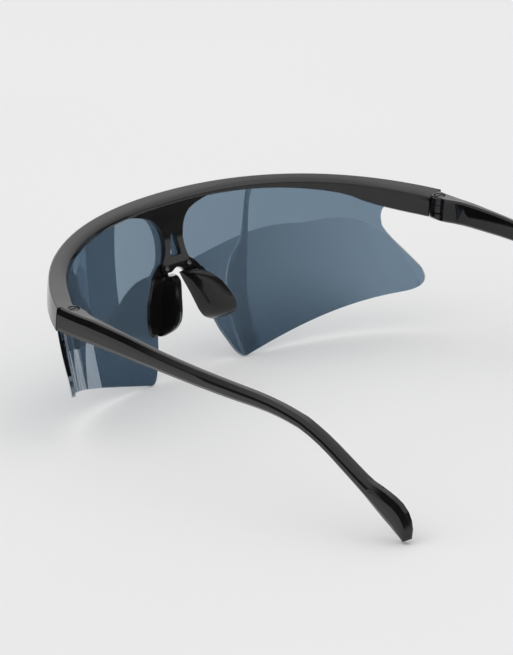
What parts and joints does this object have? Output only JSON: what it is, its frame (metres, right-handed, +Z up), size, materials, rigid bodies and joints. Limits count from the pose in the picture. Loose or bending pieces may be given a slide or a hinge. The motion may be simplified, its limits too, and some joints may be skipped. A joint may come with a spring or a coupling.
{
  "type": "half-rim shield sunglasses",
  "caption": "Half-rim wrap sunglasses: curved brow bar over a one-piece smoke blue lens, winged nose pads on a bridge foot, and folding temples with a dropped paddle tip.",
  "frame": {"origin": "on the surface that the sunglasses stand on, under the middle of their bounding box", "axes": "+X to the wearer's left, +Y from the brow back to the temple tips, +Z up, with the lens corners and the temple tips on z = 0"},
  "size_m": [0.1432, 0.1642, 0.0467],
  "materials": {
    "gloss_black_frame": "gloss black",
    "smoke_blue_lens": "polished, see-through smoke blue",
    "gloss_black_pad": "gloss black",
    "gloss_black_temple": "gloss black",
    "blackened_screw": "blackened",
    "dull_steel_pin": "dull"
  },
  "bodies": {
    "front": {"brow_frame": "gloss_black_frame", "shield_lens": "smoke_blue_lens", "nose_pad_left": "gloss_black_pad", "nose_pad_right": "gloss_black_pad", "lens_pin_left": "dull_steel_pin", "lens_pin_right": "dull_steel_pin"},
    "left_temple": {"temple_left": "gloss_black_temple", "hinge_screw_left": "blackened_screw"},
    "right_temple": {"temple_right": "gloss_black_temple", "hinge_screw_right": "blackened_screw"}
  },
  "joints": [
    {"name": "left_temple_fold", "type": "hinge", "parent": "front", "child": "left_temple", "pos_m": [0.0667, -0.04114, 0.0377], "axis": [0, 0.1576, 0.9875], "range_deg": [0, 93]},
    {"name": "right_temple_fold", "type": "hinge", "parent": "front", "child": "right_temple", "pos_m": [-0.0667, -0.04114, 0.0377], "axis": [0, 0.1576, 0.9875], "range_deg": [-87, 0]}
  ]
}
